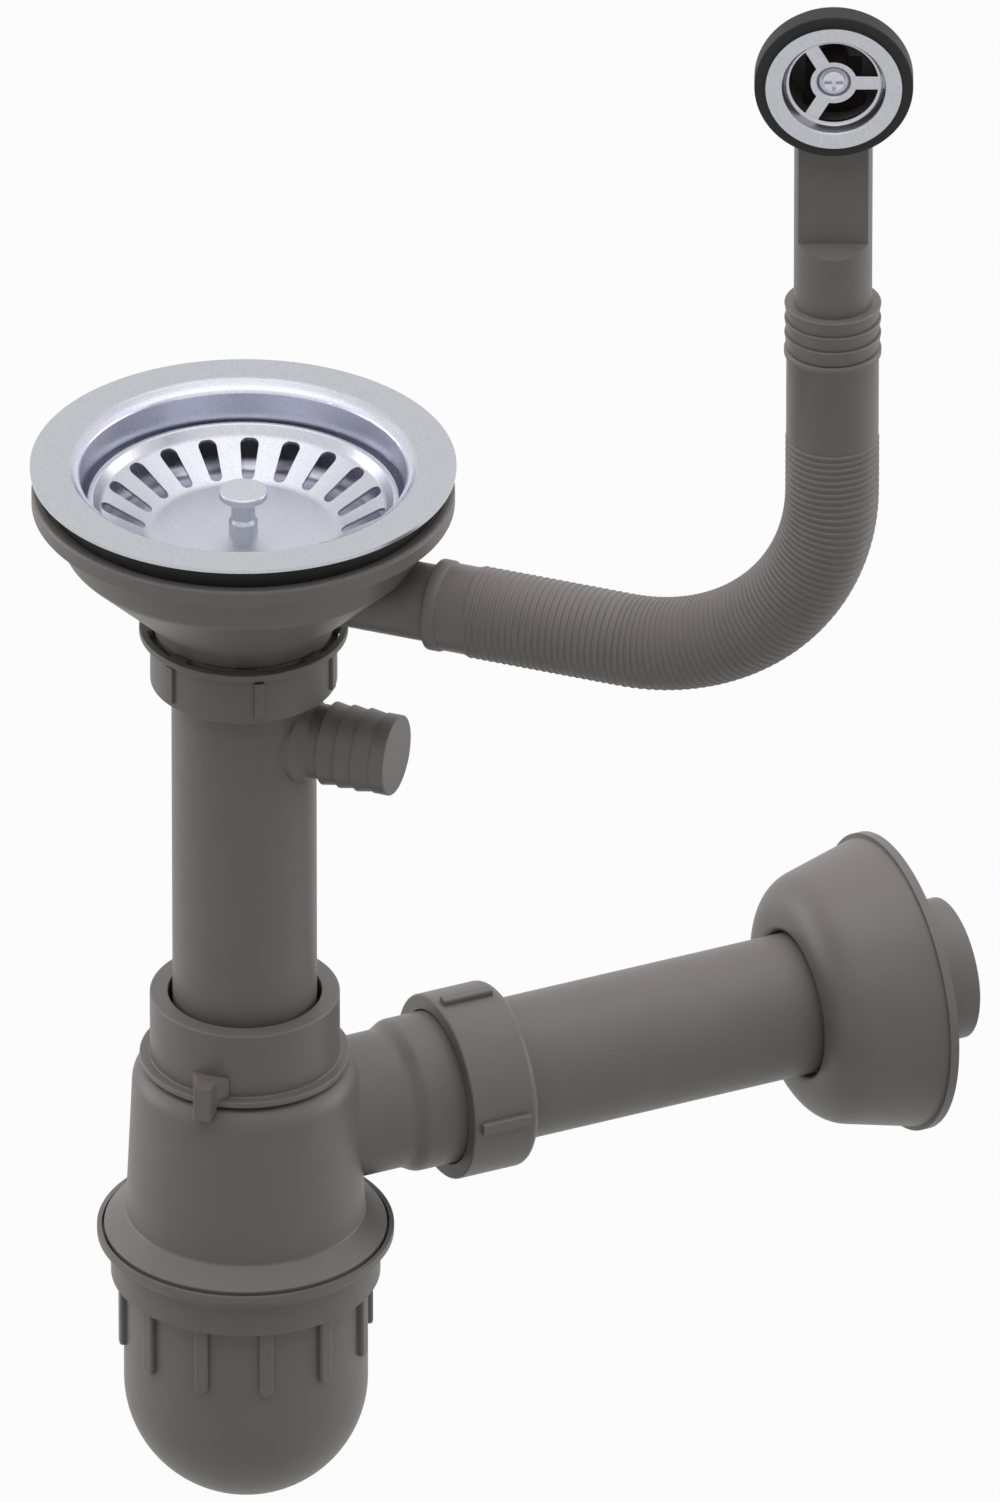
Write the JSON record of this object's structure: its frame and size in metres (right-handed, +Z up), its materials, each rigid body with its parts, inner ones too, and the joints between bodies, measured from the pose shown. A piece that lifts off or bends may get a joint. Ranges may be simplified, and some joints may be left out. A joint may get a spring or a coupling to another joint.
{
  "type": "kitchen sink waste",
  "caption": "Basket strainer waste for a kitchen sink, with a hose to the overflow and a bottle trap to a wall outlet.",
  "frame": {"origin": "on the strainer's axis, at the underside of its steel flange", "axes": "+Z up, along the strainer and tail pipe; +X along the outlet pipe, towards the wall"},
  "size_m": [0.2742, 0.202, 0.5059],
  "materials": {
    "steel": "satin",
    "grey_plastic": "moulded satin",
    "rubber": "matte",
    "brass": "machined"
  },
  "bodies": {
    "waste": {"strainer_bowl": "steel", "fixing_screw": "steel", "hub_nut": "brass", "flange_seal": "rubber", "body_seal": "rubber", "waste_body": "grey_plastic", "tail_slip_ring": "grey_plastic", "tail_seal": "rubber", "tail_pipe": "grey_plastic", "overflow_hose": "grey_plastic"},
    "strainer_basket": {"basket": "steel", "basket_knob": "steel", "basket_stopper": "rubber", "stopper_nut": "brass"},
    "tail_union": {"tail_nut": "grey_plastic"},
    "overflow_head": {"overflow_elbow": "grey_plastic", "overflow_gasket": "rubber", "overflow_rosette": "steel", "overflow_screw": "steel"},
    "trap_slider": {"slip_seal": "rubber"},
    "trap": {"trap_body": "grey_plastic", "outlet_seal": "rubber", "outlet_slip_ring": "grey_plastic"},
    "collar": {"trap_collar": "grey_plastic"},
    "cup_slider": {"cup_seal": "rubber"},
    "cup": {"trap_cup": "grey_plastic"},
    "outlet_union": {"outlet_nut": "grey_plastic"},
    "outlet": {"outlet_pipe": "grey_plastic"},
    "wall_cover": {"wall_rosette": "grey_plastic"}
  },
  "joints": [
    {"name": "basket_lift", "type": "slide", "parent": "waste", "child": "strainer_basket", "axis": [0, 0, 1], "range_m": [0, 0.045]},
    {"name": "tail_nut_turn", "type": "hinge", "parent": "waste", "child": "tail_union", "pos_m": [0, 0, -0.058], "axis": [0, 0, 1], "continuous": true},
    {"name": "overflow_swivel", "type": "hinge", "parent": "waste", "child": "overflow_head", "pos_m": [0.12119, -0.12247, 0.08], "axis": [0, 0, 1], "range_deg": [-90, 90]},
    {"name": "trap_height", "type": "slide", "parent": "waste", "child": "trap_slider", "axis": [0, 0, 1], "range_m": [-0.02, 0.02]},
    {"name": "trap_swivel", "type": "hinge", "parent": "trap_slider", "child": "trap", "pos_m": [0, 0, -0.19], "axis": [0, 0, 1], "continuous": true},
    {"name": "collar_turn", "type": "hinge", "parent": "trap", "child": "collar", "pos_m": [0, 0, -0.18], "axis": [0, 0, 1], "range_deg": [0, 60]},
    {"name": "cup_drop", "type": "slide", "parent": "trap", "child": "cup_slider", "axis": [0, 0, -1], "range_m": [0, 0.0121]},
    {"name": "cup_turn", "type": "hinge", "parent": "cup_slider", "child": "cup", "pos_m": [0, 0, -0.28], "axis": [0, 0, 1], "range_deg": [0, 1080]},
    {"name": "outlet_nut_turn", "type": "hinge", "parent": "trap", "child": "outlet_union", "pos_m": [0.068, 0, -0.21145], "axis": [1, 0, 0], "continuous": true},
    {"name": "outlet_slide", "type": "slide", "parent": "trap", "child": "outlet", "axis": [1, 0, 0], "range_m": [0, 0.012]},
    {"name": "rosette_slide", "type": "slide", "parent": "outlet", "child": "wall_cover", "axis": [1, 0, 0], "range_m": [-0.07, 0.017]}
  ],
  "couplings": [
    {"joint": "cup_drop", "follows": "cup_turn", "m_per_rad": 0.00063662}
  ]
}
